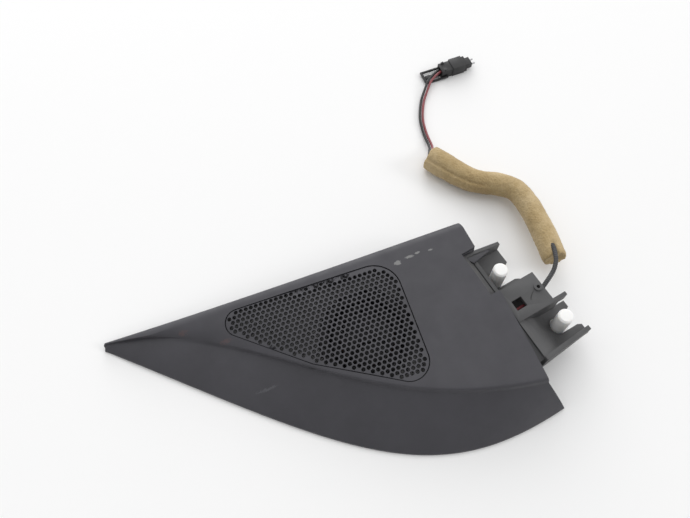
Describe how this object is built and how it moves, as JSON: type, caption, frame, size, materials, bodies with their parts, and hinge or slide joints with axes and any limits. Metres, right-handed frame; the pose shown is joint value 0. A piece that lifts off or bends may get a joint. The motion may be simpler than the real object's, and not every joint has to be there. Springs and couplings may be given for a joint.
{
  "type": "car door tweeter panel",
  "caption": "Door sail panel with a perforated grille over a dome tweeter, snap-in fixing clips and a foam-wrapped lead with a plug.",
  "frame": {"origin": "centre of the bounding box of the panel, its bracket and clips in plan, on the plane of the panel's open rim", "axes": "+X along the panel's straight far edge, from the pointed tip to the bracket; +Y across the panel to the straight far edge; +Z out of the panel's face"},
  "size_m": [0.243, 0.2189, 0.0268],
  "materials": {
    "panel_plastic": "fine moulded grain",
    "grille_plastic": "fine moulded grain",
    "baffle_plastic": "plain moulded",
    "basket_plastic": "plain moulded",
    "gasket_foam": "soft foam",
    "screw_steel": "zinc plated",
    "dome_silk": "coated silk",
    "copper_wire": "enamelled winding",
    "surround_rubber": "matt",
    "felt": "felt",
    "plated_steel": "zinc plated",
    "ferrite": "sintered",
    "terminal_brass": "bright",
    "capacitor_film": "shrink sleeve",
    "wire_red_pvc": "satin sheath",
    "wire_black_pvc": "satin sheath",
    "sleeve_black": "ribbed",
    "foam_tan": "open-cell foam",
    "nylon_white": "satin nylon",
    "connector_black": "satin",
    "pin_tin": "tin plated"
  },
  "bodies": {
    "panel": {"trim_panel": "panel_plastic", "screw_posts": "panel_plastic", "speaker_grille": "grille_plastic", "speaker_baffle": "baffle_plastic", "tweeter_gasket": "gasket_foam", "tweeter_basket": "basket_plastic", "basket_screws": "screw_steel", "surround": "surround_rubber", "dome_guard": "basket_plastic", "damping_pad": "felt", "top_plate": "plated_steel", "magnet": "ferrite", "yoke": "plated_steel", "terminals": "terminal_brass", "capacitor": "capacitor_film", "inner_lead_red": "wire_red_pvc", "inner_lead_black": "wire_black_pvc", "clip_bracket": "panel_plastic", "bracket_screws": "screw_steel", "cable_clip": "basket_plastic", "lead_sleeve": "sleeve_black", "foam_wrap": "foam_tan", "wire_red": "wire_red_pvc", "wire_black": "wire_black_pvc", "connector_housing": "connector_black", "connector_insert": "connector_black", "connector_pins": "pin_tin", "connector_loop": "connector_black"},
    "diaphragm": {"dome": "dome_silk", "voice_coil": "copper_wire"},
    "clip_upper": {"mounting_clip_upper": "nylon_white"},
    "clip_lower": {"mounting_clip_lower": "nylon_white"},
    "latch_lever": {"connector_latch": "connector_black"}
  },
  "joints": [
    {"name": "diaphragm_travel", "type": "slide", "parent": "panel", "child": "diaphragm", "axis": [-0.1218, -0.0349, 0.9919], "range_m": [-0.0003, 0.0003], "stiffness_N_per_m": 800},
    {"name": "clip_upper_slide", "type": "slide", "parent": "panel", "child": "clip_upper", "axis": [0.9744, 0.225, 0], "range_m": [0, 0.018]},
    {"name": "clip_lower_slide", "type": "slide", "parent": "panel", "child": "clip_lower", "axis": [0.9744, 0.225, 0], "range_m": [0, 0.018]},
    {"name": "latch_press", "type": "hinge", "parent": "panel", "child": "latch_lever", "pos_m": [0.11517, 0.16356, 0.0009], "axis": [-0.0802, 0.9968, 0], "range_deg": [0, 3], "stiffness_Nm_per_rad": 0.05}
  ]
}
